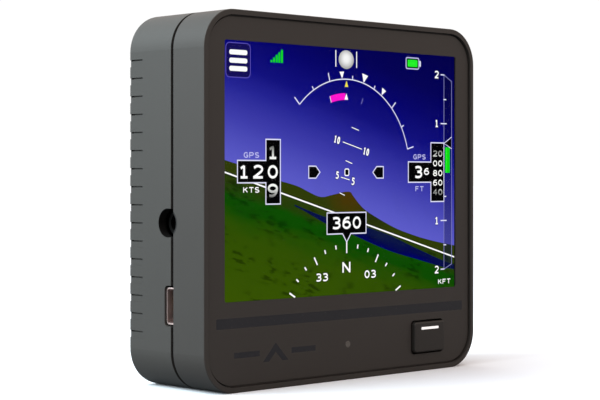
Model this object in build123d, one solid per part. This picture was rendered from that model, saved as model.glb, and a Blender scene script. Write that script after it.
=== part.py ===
from build123d import *
import os

# Portable aviation GPS: a palm-sized instrument in a two-shell plastic case.
# Millimetres, +Z up. The origin is on the resting face, below the middle of the case.
# The display looks towards -Y, and the sockets are in the -X side.
# "depth" is the distance behind the front rim, so depth 0 is the rim and DEPTH the back.

# ---- driving dimensions -------------------------------------------------------
WIDTH = 82.4            # case, across X
HEIGHT = 77.5           # case, along Z
DEPTH = 24.6            # case, rim to back
CORNER = 8.0            # radius of the four long corners
WALL = 2.0              # shell wall
SEAM = 10.0             # depth where the front shell ends
SEAM_GAP = 0.35         # dark line between the shells
KEY_PROUD = 0.4         # power key in front of the rim

RIM_Y = -(DEPTH + KEY_PROUD) / 2 + KEY_PROUD
MID_Z = HEIGHT / 2
INNER_W = WIDTH - 2 * WALL
INNER_H = HEIGHT - 2 * WALL
INNER_R = CORNER - WALL

# front face
RIM_WIDTH = 1.1         # raised rim round the face
FACE = 0.5              # depth of the sunken face
GROOVE_W, GROOVE_BACK = 0.4, 1.1    # shadow groove round the foot of the rim
FACE_BACK = FACE + WALL # depth of the face wall's inside
VIEW_W, VIEW_H = 70.08, 52.56   # lit area of a 3.5 inch 4:3 display
VIEW_Z = 44.8           # height of the display's centre
WINDOW_W, WINDOW_H = VIEW_W + 0.6, VIEW_H + 0.4
POCKET_BACK = 1.35      # the wall is thinned to this depth round the window

# display stack, as depths
LENS_FRONT, LENS_BACK = 0.5, 0.7
STAGE_FRONT = 0.8       # the cell's upper glass stands up into the window
CELL_FRONT, CELL_BACK = 1.55, 2.95
LIGHT_BACK = 4.75
BRACKET_FRONT, BRACKET_BACK = 5.2, 6.0
CELL_W, CELL_BOTTOM, CELL_TOP = 72.0, 15.8, 72.8
CELL_H = CELL_TOP - CELL_BOTTOM
CELL_Z = (CELL_TOP + CELL_BOTTOM) / 2
LIGHT_BOTTOM = CELL_BOTTOM + 0.3

# main board
BOARD_FRONT, BOARD_BACK = 8.6, 9.8
BOARD_W, BOARD_BOTTOM, BOARD_TOP = 76.4, 2.9, 74.6
BOARD_H = BOARD_TOP - BOARD_BOTTOM
BOARD_Z = (BOARD_TOP + BOARD_BOTTOM) / 2

# case screws, M2.5 from the back
SCREW_X, SCREW_TOP_Z, SCREW_LOW_Z = 34.0, 70.5, 7.0
SCREW_SPOTS = [(sx * SCREW_X, z) for z in (SCREW_TOP_Z, SCREW_LOW_Z) for sx in (-1, 1)]
SHANK_R, THREAD_R, CLEAR_R = 1.2, 1.22, 1.4
HEAD_R, HEAD_H, COUNTERBORE_R = 2.2, 2.0, 2.45
SEAT = DEPTH - 3.0      # depth of the face under the screw heads

# bracket screws, M1.4
BRACKET_SPOTS = [(sx * 37.8, z) for z in (62.0, 24.0) for sx in (-1, 1)]

# power key and its switch
KEY_X, KEY_Z, KEY_W, KEY_H = 25.55, 7.6, 9.9, 6.8
KEY_GAP = 0.4
KEY_TRAVEL = 0.6
KEY_FLANGE = 0.65       # the flange behind the wall stands out this far
STEM_END = 4.3          # depth where the key meets the switch's plunger
SWITCH_FRONT = 5.0
PLUNGER_R, PLUNGER_END = 1.7, 5.9
BAR_W, BAR_H, BAR_Z = 5.75, 0.55, 9.58

# side sockets
JACK_Z, JACK_DEPTH = 34.27, 11.36
JACK_HOLE_R, JACK_FRONT_R = 2.91, 2.65
JACK_NOSE_R, JACK_BORE_R = 2.45, 1.75
JACK_MOUTH_X, JACK_BODY_X = -38.9, -34.4
USB_Z, USB_W, USB_FRONT, USB_BACK = 17.4, 8.3, 9.65, 12.35

# gripping ribs on the sides and back
RIB_PITCH, RIB_TOP, RIB_COUNT = 3.745, 67.94, 16
RIB_START = 19.5        # depth where they begin on the sides
SLIT_END = 23.4         # depth where the dark slits stop, just before the rear edge
RIB_INNER_X = 24.0      # the flat mounting pad on the back is this half-wide
SLIT_H, SLIT_DEEP = 0.3, 0.6
STEP_H, STEP_DEEP = 1.5, 0.15
BACK_FILLET = 1.5

# four-hole mount pattern on the back, M4
MOUNT_X, MOUNT_Z = 38.05, 30.17
MOUNT_BORE_R, INSERT_R, INSERT_L = 1.65, 2.6, 3.2

# battery
CELL_BATT = (58.0, 6.4, 40.0)
BATT_FRONT, BATT_BOTTOM = 14.2, 14.0


# ---- helpers ------------------------------------------------------------------
def y_at(depth):
    """Y of a plane that lies this far behind the rim."""
    return RIM_Y + depth


def prism(outline, front, back):
    """An outline drawn in X and Z, made solid between two depths."""
    plane = Plane(origin=(0, y_at(back), 0), x_dir=(1, 0, 0), z_dir=(0, -1, 0))
    return extrude(plane * outline, amount=back - front)


def slab(width, height, radius, front, back, x=0.0, z=MID_Z):
    """A rounded rectangle in X and Z, made solid between two depths."""
    shape = RectangleRounded(width, height, radius) if radius else Rectangle(width, height)
    return prism(Pos(x, z) * shape, front, back)


def rod(x, z, radius, front, back):
    """A cylinder along Y between two depths."""
    return prism(Pos(x, z) * Circle(radius), front, back)


def side_rod(depth, z, radius, x0, x1):
    """A cylinder along X from x0 to x1."""
    plane = Plane(origin=(x0, y_at(depth), z), x_dir=(0, 1, 0), z_dir=(1, 0, 0))
    return extrude(plane * Circle(radius), amount=x1 - x0)


def brick(x0, x1, front, back, z0, z1):
    """A plain block between two X, two depths and two Z."""
    return Pos((x0 + x1) / 2, y_at((front + back) / 2), (z0 + z1) / 2) * Box(
        x1 - x0, back - front, z1 - z0
    )


def edges_at(shape, depth):
    """The edges that lie wholly in one plane of constant depth."""
    y = y_at(depth)
    return [e for e in shape.edges() if all(abs(v.Y - y) < 1e-4 for v in (e @ 0, e @ 0.5, e @ 1))]


# ---- sockets in the -X wall ----------------------------------------------------
def jack_opening():
    """Round opening for the antenna jack: full size in the rear shell, a little smaller in front."""
    x0, x1 = -WIDTH / 2 - 1, -WIDTH / 2 + WALL + 1
    rear = side_rod(JACK_DEPTH, JACK_Z, JACK_HOLE_R, x0, x1)
    rear += brick(x0, x1, SEAM - 0.6, JACK_DEPTH, JACK_Z - JACK_HOLE_R, JACK_Z + JACK_HOLE_R)
    front = side_rod(JACK_DEPTH, JACK_Z, JACK_FRONT_R, x0, x1)
    return rear, front


def usb_opening():
    """Slot for the USB socket, rounded at its rear corners."""
    x0, x1 = -WIDTH / 2 - 1, -WIDTH / 2 + WALL + 1
    slot = brick(x0, x1, USB_FRONT, USB_BACK, USB_Z - USB_W / 2, USB_Z + USB_W / 2)
    rear = slot.edges().filter_by(Axis.X).group_by(Axis.Y)[-1]
    return fillet(rear, 0.9)


# ---- shells --------------------------------------------------------------------
def rim_groove():
    """Thin groove between the face and the raised rim."""
    inset = RIM_WIDTH + GROOVE_W
    outside = slab(
        WIDTH - 2 * RIM_WIDTH, HEIGHT - 2 * RIM_WIDTH, CORNER - RIM_WIDTH, FACE - 0.1, GROOVE_BACK
    )
    return outside - slab(WIDTH - 2 * inset, HEIGHT - 2 * inset, CORNER - inset, 0, DEPTH)


def front_shell():
    """Front casing: side band, raised rim, sunken face, window and bosses in one moulding."""
    outer = slab(WIDTH, HEIGHT, CORNER, 0, SEAM)
    outer = fillet(edges_at(outer, 0), 0.2)
    outer = chamfer(edges_at(outer, SEAM), 0.45)
    cavity = slab(INNER_W, INNER_H, INNER_R, FACE_BACK, SEAM + 1)
    rebate = slab(INNER_W + 2.0, INNER_H + 2.0, INNER_R + 1.0, 8.7, SEAM + 1)
    recess = slab(WIDTH - 2 * RIM_WIDTH, HEIGHT - 2 * RIM_WIDTH, CORNER - RIM_WIDTH, -1, FACE)
    pocket = slab(CELL_W + 0.4, CELL_H + 0.4, 0.5, POCKET_BACK, FACE_BACK + 0.1, z=CELL_Z)
    window = slab(WINDOW_W, WINDOW_H, 0.5, -1, FACE_BACK, z=VIEW_Z)
    body = outer - [cavity, rebate, recess, rim_groove(), pocket, window]

    for x, z in BRACKET_SPOTS:
        body += rod(x, z, 1.5, POCKET_BACK, BRACKET_FRONT)
        body -= rod(x, z, 0.7, 2.0, BRACKET_FRONT)
    for x, z in SCREW_SPOTS[2:]:
        body += rod(x, z, 2.6, FACE, BOARD_FRONT)
        body -= rod(x, z, 1.8, 4.6, BOARD_FRONT)

    key_hole = slab(KEY_W + 2 * KEY_GAP, KEY_H + 2 * KEY_GAP, 0.9, -1, FACE_BACK + 1, KEY_X, KEY_Z)
    rear_jack, front_jack = jack_opening()
    return body - [key_hole, strip_solid(), *badge_solids(), pipe_hole(), front_jack, usb_opening()]


def slit_profile():
    """Plan view of one dark slit in the -X side."""
    length = SLIT_END - RIB_START
    centre = Pos(-WIDTH / 2, y_at(RIB_START + length / 2))
    return centre * Rectangle(2 * SLIT_DEEP, length)


def step_profile():
    """Plan view of one shallow step, from the -X side round the rear corner to the back."""
    margin = 1.0
    corner_x, back_y = -WIDTH / 2, y_at(DEPTH)
    length = DEPTH - RIB_START
    outside = Pos((corner_x - margin - RIB_INNER_X) / 2, back_y - (length - margin) / 2) * Rectangle(
        -RIB_INNER_X - corner_x + margin, length + margin
    )
    kept_w, kept_l = 2 * (-corner_x - STEP_DEEP), 2 * (length + margin)
    kept = Pos(0, back_y - STEP_DEEP - kept_l / 2) * RectangleRounded(
        kept_w, kept_l, BACK_FILLET - STEP_DEEP
    )
    return outside - kept


def rib_cuts():
    """Every cut of the grip ribs: a thin dark slit above a shallow step, on both sides."""
    slit, step = slit_profile(), step_profile()
    cuts = []
    for i in range(RIB_COUNT):
        top = RIB_TOP - i * RIB_PITCH
        for outline, high in ((slit, SLIT_H), (step, STEP_H)):
            left = extrude(Pos(0, 0, top - high) * outline, amount=high)
            cuts += [left, mirror(left, about=Plane.YZ)]
    return cuts


def rear_shell():
    """Rear casing: tub with grip ribs, screw posts, mount bosses and the sockets' openings."""
    start = SEAM + SEAM_GAP
    outer = slab(WIDTH, HEIGHT, CORNER, start, DEPTH)
    outer = fillet(edges_at(outer, DEPTH), BACK_FILLET)
    tongue = slab(INNER_W + 1.8, INNER_H + 1.8, INNER_R + 0.9, 8.8, start + 0.1)
    cavity = slab(INNER_W + 0.2, INNER_H + 0.2, INNER_R + 0.1, 8.0, DEPTH - WALL)
    body = outer + tongue - cavity

    for x, z in SCREW_SPOTS:
        body += rod(x, z, 3.5, BOARD_BACK + 0.1, DEPTH - 1)
        body -= [rod(x, z, CLEAR_R, 8.0, DEPTH), rod(x, z, COUNTERBORE_R, SEAT, DEPTH + 1)]
    for x, z in mount_spots():
        body += rod(x, z, 3.8, DEPTH - INSERT_L - 0.6, DEPTH - 1)
        body -= rod(x, z, INSERT_R, DEPTH - INSERT_L, DEPTH + 1)

    rear_jack, front_jack = jack_opening()
    return body - [*rib_cuts(), label_solid(), rear_jack, usb_opening()]


def seam_gasket():
    """Silicone cord that fills the seam, sunk a little below the surface."""
    outer = slab(WIDTH - 1.0, HEIGHT - 1.0, CORNER - 0.5, SEAM, SEAM + SEAM_GAP)
    inner = slab(INNER_W + 1.8, INNER_H + 1.8, INNER_R + 0.9, SEAM - 1, SEAM + 1)
    rear_jack, front_jack = jack_opening()
    return outer - [inner, rear_jack, usb_opening()]


# ---- things let into the front face --------------------------------------------
def strip_solid():
    """Gloss strip across the face, below the display."""
    return slab(75.2, 2.1, 0.3, FACE, FACE + 0.4, 0, 14.05)


def badge_solids():
    """Plain aircraft-reference symbol: two wing bars and a chevron between them."""
    middle, z = -21.3, 7.5
    bar_w, bar_h, reach = 7.0, 1.15, 11.5
    bars = [slab(bar_w, bar_h, 0, FACE, FACE + 0.3, middle + s * (reach - bar_w / 2), z) for s in (-1, 1)]
    low, high, half = z - 1.9, z + 1.9, 3.6
    chevron = Polygon(
        (middle + half, low), (middle, high), (middle - half, low),
        (middle - half + 1.7, low), (middle, high - 1.9), (middle + half - 1.7, low),
        align=None,
    )
    return [*bars, prism(chevron, FACE, FACE + 0.3)]


def pipe_hole():
    """Hole of the light pipe."""
    return rod(0, 7.6, 0.75, 0, FACE_BACK + 1)


def light_pipe():
    """Clear pipe that carries room light from the face to the sensor on the board."""
    return rod(0, 7.6, 0.73, FACE, 7.4) + rod(0, 7.6, 1.6, FACE_BACK, 3.8)


# ---- display -------------------------------------------------------------------
def lcd_cell():
    """LCD cell: the upper glass fits the window, and the lower one is larger all round."""
    lower = slab(CELL_W, CELL_H, 0.3, CELL_FRONT, CELL_BACK, z=CELL_Z)
    return lower + slab(WINDOW_W - 0.1, WINDOW_H - 0.1, 0.3, STAGE_FRONT, CELL_FRONT, z=VIEW_Z)


def display_gasket():
    """Thin foam frame between the case and the LCD cell."""
    outer = slab(CELL_W, CELL_H, 0.4, POCKET_BACK, CELL_FRONT, z=CELL_Z)
    return outer - slab(WINDOW_W + 0.1, WINDOW_H + 0.1, 0.5, 0, 3, z=VIEW_Z)


def display_bracket():
    """Pressed plate that holds the display in and carries the upper standoffs."""
    bottom, top = 13.6, 74.4
    plate = slab(78.0, top - bottom, 0.8, BRACKET_FRONT, BRACKET_BACK, z=(top + bottom) / 2)
    plate &= slab(INNER_W - 0.4, INNER_H - 0.4, INNER_R - 0.2, 0, DEPTH)
    holes = [rod(x, z, 0.8, 0, DEPTH) for x, z in BRACKET_SPOTS]
    holes += [rod(x, z, THREAD_R, 0, DEPTH) for x, z in SCREW_SPOTS[:2]]
    lightening = [slab(24, 16, 2, 0, DEPTH, x, z) for x in (-16, 16) for z in (32, 56)]
    return plate - holes - lightening


def bracket_screws():
    """Four small pan-head screws with slots."""
    made = []
    for x, z in BRACKET_SPOTS:
        head = rod(x, z, 1.3, BRACKET_BACK, BRACKET_BACK + 0.9)
        slot = brick(x - 2, x + 2, BRACKET_BACK + 0.5, BRACKET_BACK + 1, z - 0.2, z + 0.2)
        made.append(head + rod(x, z, 0.68, 2.2, BRACKET_BACK) - slot)
    return made


# ---- power key -----------------------------------------------------------------
def power_key():
    """Key cap with a holding flange behind the wall and a stem to the switch."""
    cap = slab(KEY_W, KEY_H, 0.6, -KEY_PROUD, FACE_BACK + 0.5, KEY_X, KEY_Z)
    cap = fillet(edges_at(cap, -KEY_PROUD), 0.35)
    flange_w, flange_h = KEY_W + 2 * KEY_FLANGE, KEY_H + 2 * KEY_FLANGE + 0.4
    flange = slab(flange_w, flange_h, 0.6, FACE_BACK + 0.1, FACE_BACK + 0.9, KEY_X, KEY_Z)
    stem = slab(3.2, 3.2, 0.4, FACE_BACK + 0.5, STEM_END, KEY_X, KEY_Z)
    return cap + flange + stem - key_light_bar()


def key_light_bar():
    """White index bar let into the key."""
    return slab(BAR_W, BAR_H, 0.15, -KEY_PROUD, 2.2, KEY_X, BAR_Z)


def key_switch():
    """Body of the push switch on the front of the board."""
    body = slab(6.0, 6.0, 0.3, SWITCH_FRONT, BOARD_FRONT, KEY_X, KEY_Z)
    return body - rod(KEY_X, KEY_Z, PLUNGER_R + 0.06, 0, PLUNGER_END + KEY_TRAVEL + 0.2)


# ---- board and what is on it ---------------------------------------------------
def main_board():
    """Circuit board, notched for the jack and drilled for the case screws."""
    board = slab(BOARD_W, BOARD_H, 5.2, BOARD_FRONT, BOARD_BACK, z=BOARD_Z)
    notch = brick(-40, JACK_BODY_X + 0.1, 0, DEPTH, JACK_Z - 2.8, JACK_Z + 2.8)
    return board - [rod(x, z, CLEAR_R, 0, DEPTH) for x, z in SCREW_SPOTS] - notch


def on_back(width, height, thick, x, z, radius=0.2):
    """A component on the back of the board."""
    return slab(width, height, radius, BOARD_BACK, BOARD_BACK + thick, x, z)


def board_passives():
    """Rows of small chip capacitors beside the processor and along the lower edge."""
    beside = [on_back(1.6, 0.9, 0.8, -9 + 2.6 * i, 47.5, 0) for i in range(8)]
    below = [on_back(1.6, 0.9, 0.8, -14 + 2.6 * i, 9.5, 0) for i in range(9)]
    return beside + below


def usb_shell():
    """Stamped metal shell of the USB socket."""
    x0, x1 = -40.7, -35.2
    box = brick(x0, x1, BOARD_BACK, 12.3, USB_Z - 3.75, USB_Z + 3.75)
    inside = brick(x0 - 1, x1 - 0.3, BOARD_BACK + 0.3, 12.0, USB_Z - 3.45, USB_Z + 3.45)
    outer = fillet(box.edges().filter_by(Axis.X).group_by(Axis.Y)[-1], 0.8)
    return outer - fillet(inside.edges().filter_by(Axis.X).group_by(Axis.Y)[-1], 0.5)


def usb_tongue():
    """Contact tongue inside the socket."""
    return brick(-39.4, -35.5, BOARD_BACK + 0.8, BOARD_BACK + 1.35, USB_Z - 2.6, USB_Z + 2.6)


def antenna_jack():
    """Black jack for an outside antenna, its nose behind the round opening."""
    nose = side_rod(JACK_DEPTH, JACK_Z, JACK_NOSE_R, JACK_MOUTH_X, JACK_BODY_X)
    body = brick(JACK_BODY_X, -28.4, BOARD_BACK, 13.8, JACK_Z - 3.2, JACK_Z + 3.2)
    bore = side_rod(JACK_DEPTH, JACK_Z, JACK_BORE_R, JACK_MOUTH_X - 1, JACK_MOUTH_X + 4.0)
    chamber = side_rod(JACK_DEPTH, JACK_Z, 0.9, JACK_MOUTH_X, -30.4)
    return nose + body - [bore, chamber]


def jack_contact():
    """Centre contact at the bottom of the jack."""
    return side_rod(JACK_DEPTH, JACK_Z, 0.45, JACK_MOUTH_X + 5.2, -30.4)


def ribbon(x, width, start):
    """Flat cable from the display's lower edge, round to its socket on the board."""
    thick, low = 0.25, 12.9
    path = FilletPolyline(
        (0, y_at(start), LIGHT_BOTTOM), (0, y_at(start), low), (0, y_at(7.4), low), radius=1.2
    )
    plane = Plane(origin=(x, y_at(start), LIGHT_BOTTOM), x_dir=(1, 0, 0), z_dir=(0, 0, -1))
    return sweep(plane * Rectangle(width, thick), path=Pos(x, 0, 0) * path)


# ---- battery -------------------------------------------------------------------
def battery_cell():
    """Flat lithium cell in a soft foil pouch."""
    w, t, h = CELL_BATT
    return slab(w, h, 1.5, BATT_FRONT, BATT_FRONT + t, 0, BATT_BOTTOM + h / 2)


def battery_pads():
    """Two foam strips that hold the cell against the back wall."""
    back = BATT_FRONT + CELL_BATT[1]
    return [slab(46, 7, 0.5, back, DEPTH - WALL, 0, z) for z in (33.0, 44.5)]


def battery_lead(side):
    """One insulated lead from the top of the cell to the plug on the board."""
    radius, top = 0.6, BATT_BOTTOM + CELL_BATT[2]
    x = 26.0 + 1.0 * side
    start = (x, y_at(17.4), top)
    points = [start, (x, y_at(17.4), top + 3.2), (x, y_at(11.6), top + 3.2), (x, y_at(11.6), top + 6.4)]
    path = FilletPolyline(*points, radius=[1.3, 1.3])
    plane = Plane(origin=start, x_dir=(1, 0, 0), z_dir=(0, 0, 1))
    return sweep(plane * Circle(radius), path=path)


def battery_plug():
    """Two-pole plug at the end of the leads."""
    top = BATT_BOTTOM + CELL_BATT[2]
    return brick(23.5, 28.5, 10.5, 12.7, top + 6.4, top + 9.4)


def battery_socket():
    """Socket on the board that takes the battery's plug."""
    top = BATT_BOTTOM + CELL_BATT[2]
    housing = brick(22.8, 29.2, BOARD_BACK, 13.4, top + 6.8, top + 11.4)
    return housing - brick(23.4, 28.6, 10.4, 12.8, top + 6.0, top + 9.5)


# ---- fasteners and inserts -----------------------------------------------------
def mount_spots():
    """Centres of the four-hole mount pattern on the back."""
    return [(sx * MOUNT_X / 2, MID_Z + sz * MOUNT_Z / 2) for sx in (-1, 1) for sz in (-1, 1)]


def case_screws():
    """Four long screws with hexagon sockets, from the back into the threads in front."""
    made = []
    for x, z in SCREW_SPOTS:
        head = rod(x, z, HEAD_R, SEAT, SEAT + HEAD_H)
        head = fillet(edges_at(head, SEAT + HEAD_H), 0.3)
        socket = prism(Pos(x, z) * RegularPolygon(1.15, 6), SEAT + 0.9, SEAT + HEAD_H + 1)
        made.append(head + rod(x, z, SHANK_R, 6.4, SEAT) - socket)
    return made


def tube(x, z, outer, inner, front, back):
    """A plain ring along Y."""
    return rod(x, z, outer, front, back) - rod(x, z, inner, front - 1, back + 1)


def mount_inserts():
    """Four blind brass inserts, flush with the back."""
    front = DEPTH - INSERT_L
    return [
        rod(x, z, INSERT_R, front, DEPTH) - rod(x, z, MOUNT_BORE_R, front + 0.4, DEPTH + 1)
        for x, z in mount_spots()
    ]


def label_solid():
    """Blank rating plate let into the back."""
    return slab(34.0, 9.0, 0.8, DEPTH - 0.2, DEPTH, 0, 65.5)


# ---- every node ----------------------------------------------------------------
def nodes():
    """Name and solids of each piece."""
    top = SCREW_SPOTS[:2]
    low = SCREW_SPOTS[2:]
    return {
        "front_shell": front_shell(),
        "rear_shell": rear_shell(),
        "seam_gasket": seam_gasket(),
        "accent_strip": strip_solid(),
        "badge_inlay": badge_solids(),
        "light_pipe": light_pipe(),
        "light_sensor": slab(2.4, 2.4, 0.2, 7.6, BOARD_FRONT, 0, 7.6),
        "display_lens": slab(WINDOW_W - 0.1, WINDOW_H - 0.1, 0.45, LENS_FRONT, LENS_BACK, z=VIEW_Z),
        "bonding_layer": slab(WINDOW_W - 0.1, WINDOW_H - 0.1, 0.3, LENS_BACK, STAGE_FRONT, z=VIEW_Z),
        "display_gasket": display_gasket(),
        "lcd_cell": lcd_cell(),
        "backlight_unit": slab(CELL_W - 0.4, CELL_H - 0.6, 0.3, CELL_BACK, LIGHT_BACK, z=CELL_Z),
        "display_pads": [slab(60, 4, 0.5, LIGHT_BACK, BRACKET_FRONT, 0, z) for z in (20.0, 68.5)],
        "display_bracket": display_bracket(),
        "bracket_screws": bracket_screws(),
        "bracket_standoffs": [tube(x, z, 2.5, THREAD_R, BRACKET_BACK, BOARD_FRONT) for x, z in top],
        "power_key": power_key(),
        "key_light_bar": key_light_bar(),
        "key_plunger": rod(KEY_X, KEY_Z, PLUNGER_R, STEM_END, PLUNGER_END),
        "key_switch": key_switch(),
        "main_board": main_board(),
        "processor_chip": on_back(14, 14, 1.3, 0, 37.0),
        "memory_chips": [on_back(8, 11, 1.1, x, 24.0) for x in (-6.5, 6.5)],
        "gps_receiver": on_back(12, 16, 2.4, -19.0, 62.5),
        "gps_patch_antenna": on_back(18, 18, 4.0, 0, 62.5, 0.6),
        "patch_electrode": slab(14.5, 14.5, 0.4, BOARD_BACK + 4.0, BOARD_BACK + 4.2, 0, 62.5),
        "inertial_sensor": on_back(7, 7, 1.6, 17.0, 37.0),
        "wifi_module": on_back(15, 12, 2.2, 17.0, 9.0),
        "power_inductors": [on_back(5.5, 5.5, 3.0, x, 21.5, 1.2) for x in (-25.5, -18.5)],
        "board_passives": board_passives(),
        "usb_shell": usb_shell(),
        "usb_tongue": usb_tongue(),
        "antenna_jack": antenna_jack(),
        "jack_contact": jack_contact(),
        "lcd_ribbon": ribbon(-8.0, 18.0, 3.3),
        "touch_ribbon": ribbon(8.5, 7.0, 3.3),
        "ribbon_sockets": [
            brick(x - w / 2, x + w / 2, 7.4, BOARD_FRONT, 11.9, 14.6) for x, w in ((-8.0, 20.0), (8.5, 9.0))
        ],
        "battery_cell": battery_cell(),
        "battery_pads": battery_pads(),
        "battery_lead_red": battery_lead(1),
        "battery_lead_black": battery_lead(-1),
        "battery_plug": battery_plug(),
        "battery_socket": battery_socket(),
        "front_inserts": [tube(x, z, 1.8, THREAD_R, 4.6, BOARD_FRONT) for x, z in low],
        "case_screws": case_screws(),
        "mount_inserts": mount_inserts(),
        "back_label": label_solid(),
    }


def main():
    """Writes each node to its own STEP file."""
    os.makedirs("parts", exist_ok=True)
    for name, made in nodes().items():
        solids = made if isinstance(made, list) else [made]
        shape = Compound(children=[s for item in solids for s in item.solids()])
        export_step(shape, f"parts/{name}.step")


main()
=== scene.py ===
"""Looks of the portable aviation GPS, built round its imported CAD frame.

Everything is in metres in the part's own frame: +Z up, the display facing -Y, the sockets in the -X side.
"""

import logging
import math
from dataclasses import dataclass, field
from enum import Enum
from functools import partialmethod
from typing import Any, ClassVar, Optional, Sequence, Union

import bpy
import numpy as np
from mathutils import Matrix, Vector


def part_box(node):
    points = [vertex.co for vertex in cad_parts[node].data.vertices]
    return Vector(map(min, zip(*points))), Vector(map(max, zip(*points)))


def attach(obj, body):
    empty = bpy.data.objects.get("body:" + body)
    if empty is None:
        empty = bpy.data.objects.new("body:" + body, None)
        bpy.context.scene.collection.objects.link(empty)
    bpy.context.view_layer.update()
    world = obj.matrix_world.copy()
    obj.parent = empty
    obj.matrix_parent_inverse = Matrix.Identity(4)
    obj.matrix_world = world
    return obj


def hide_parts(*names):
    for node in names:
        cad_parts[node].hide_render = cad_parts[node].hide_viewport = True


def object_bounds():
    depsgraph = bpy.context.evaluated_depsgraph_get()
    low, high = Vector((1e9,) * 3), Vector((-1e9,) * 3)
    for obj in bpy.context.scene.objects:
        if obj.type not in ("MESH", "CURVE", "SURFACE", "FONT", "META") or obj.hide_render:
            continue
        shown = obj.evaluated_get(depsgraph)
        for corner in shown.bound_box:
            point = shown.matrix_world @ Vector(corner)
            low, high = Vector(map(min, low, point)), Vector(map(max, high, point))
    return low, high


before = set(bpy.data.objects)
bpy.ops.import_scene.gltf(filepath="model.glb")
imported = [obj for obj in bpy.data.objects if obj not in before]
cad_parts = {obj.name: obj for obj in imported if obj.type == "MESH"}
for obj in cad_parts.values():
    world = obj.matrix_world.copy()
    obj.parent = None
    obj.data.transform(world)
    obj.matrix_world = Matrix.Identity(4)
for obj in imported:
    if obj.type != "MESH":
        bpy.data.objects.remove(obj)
CAD_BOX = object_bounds()

LOG = logging.getLogger("portable_gps")
MM = 0.001
CASE = "case"

Array = np.ndarray
Colour = tuple[float, float, float, float]
Point = tuple[float, float]


def tone(red: float, green: float, blue: float) -> Colour:
    """Gives the linear colour of three display levels from 0 to 255.

    Args:
        red: Red level.
        green: Green level.
        blue: Blue level.

    Returns:
        The colour in linear light, with an alpha of one.
    """
    level = np.array([red, green, blue]) / 255
    low, high = level / 12.92, ((level + 0.055) / 1.055) ** 2.4
    return (*np.where(level <= 0.04045, low, high).tolist(), 1.0)


# ---- shader kit ------------------------------------------------------------------


class Signal:
    """A shader socket that carries a number, with the operators that add Math nodes."""

    def __init__(self, shader: "Shader", socket: bpy.types.NodeSocket) -> None:
        """Wraps one output socket of a shader's node."""
        self.shader = shader
        self.socket = socket

    def _math(self, operation: str, *others: Any) -> "Signal":
        """Adds one Math node on this signal and other values, and wraps its output."""
        inputs = dict(enumerate((self, *others)))
        node = self.shader.node("ShaderNodeMath", {"operation": operation}, inputs)
        return Signal(self.shader, node.outputs[0])

    __add__ = __radd__ = partialmethod(_math, "ADD")
    __sub__ = partialmethod(_math, "SUBTRACT")
    __mul__ = __rmul__ = partialmethod(_math, "MULTIPLY")
    __truediv__ = partialmethod(_math, "DIVIDE")
    absolute = partialmethod(_math, "ABSOLUTE")
    fraction = partialmethod(_math, "FRACT")
    root = partialmethod(_math, "SQRT")
    largest = partialmethod(_math, "MAXIMUM")

    def __rsub__(self, other: Any) -> "Signal":
        """Subtracts from a number."""
        return self * -1 + other

    def between(self, low: float, high: float) -> "Signal":
        """Rises smoothly from 0 at low to 1 at high.

        Args:
            low: Value that gives 0.
            high: Value that gives 1.

        Returns:
            The eased signal.
        """
        inputs = {"Value": self, "From Min": low, "From Max": high}
        node = self.shader.node("ShaderNodeMapRange", {"interpolation_type": "SMOOTHSTEP"}, inputs)
        return Signal(self.shader, node.outputs[0])


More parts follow.
